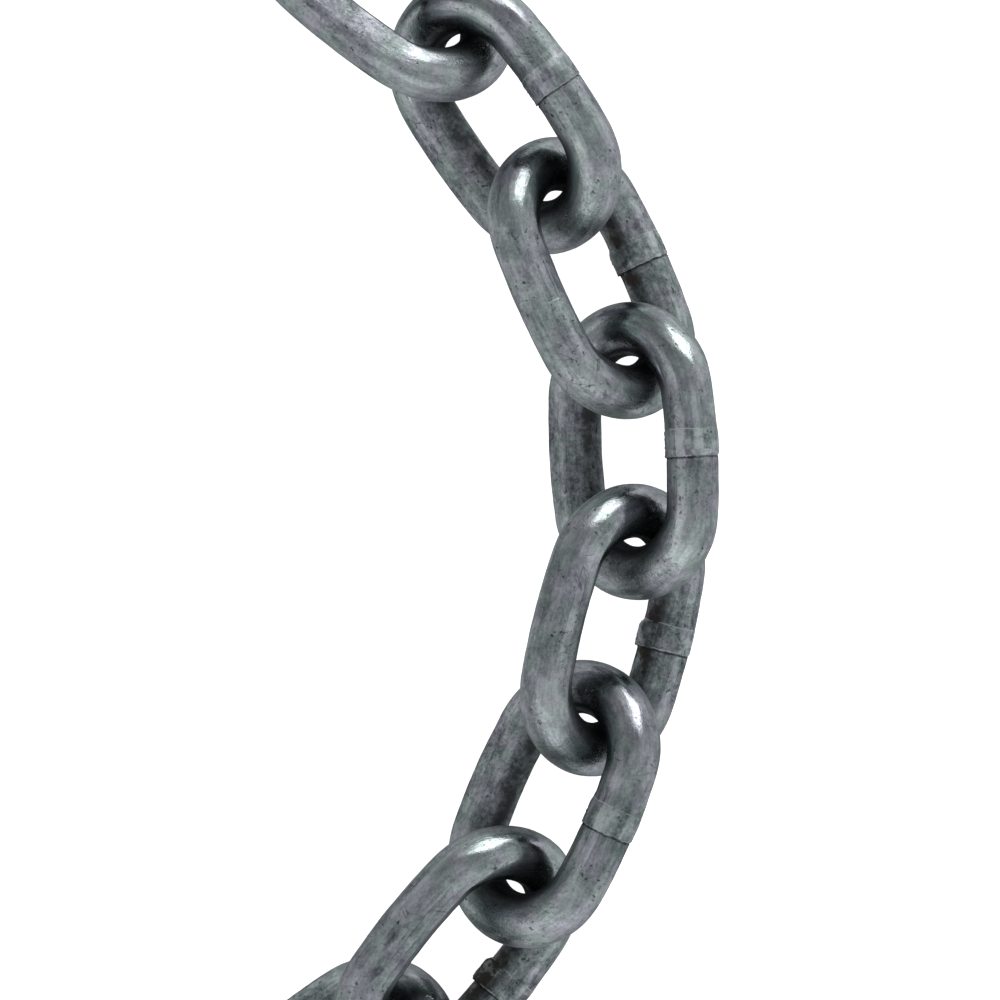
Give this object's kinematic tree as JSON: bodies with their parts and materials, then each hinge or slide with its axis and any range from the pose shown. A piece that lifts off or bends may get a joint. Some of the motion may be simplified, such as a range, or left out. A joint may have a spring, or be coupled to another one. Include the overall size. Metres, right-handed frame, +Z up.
{
  "type": "length of steel chain",
  "caption": "Length of welded short-link steel chain laid in a loose horseshoe bend, its oval links leaning over to left and right by turns; cut stock for tying, hauling and hanging.",
  "frame": {"origin": "under the middle of the chain's footprint, on the ground that it lies on", "axes": "+Z up; +X from the chain's two ends toward the closed side of the bend; +Y toward the arm that begins with link_01"},
  "size_m": [0.4034, 0.3172, 0.0201],
  "materials": {
    "steel": "self-coloured: dark blue-grey drawn bar, matt and scored lengthwise on the sides, smoother and shinier on the bows"
  },
  "bodies": {
    "root": {"link_01": "steel", "link_02": "steel", "link_03": "steel", "link_04": "steel", "link_05": "steel", "link_06": "steel", "link_07": "steel", "link_08": "steel", "link_09": "steel", "link_10": "steel", "link_11": "steel", "link_12": "steel", "link_13": "steel", "link_14": "steel", "link_15": "steel", "link_16": "steel", "link_17": "steel", "link_18": "steel", "link_19": "steel", "link_20": "steel", "link_21": "steel", "link_22": "steel", "link_23": "steel", "link_24": "steel", "link_25": "steel", "link_26": "steel", "link_27": "steel", "link_28": "steel", "link_29": "steel", "link_30": "steel", "link_31": "steel", "link_32": "steel", "link_33": "steel", "link_34": "steel", "link_35": "steel", "link_36": "steel"}
  },
  "joints": []
}
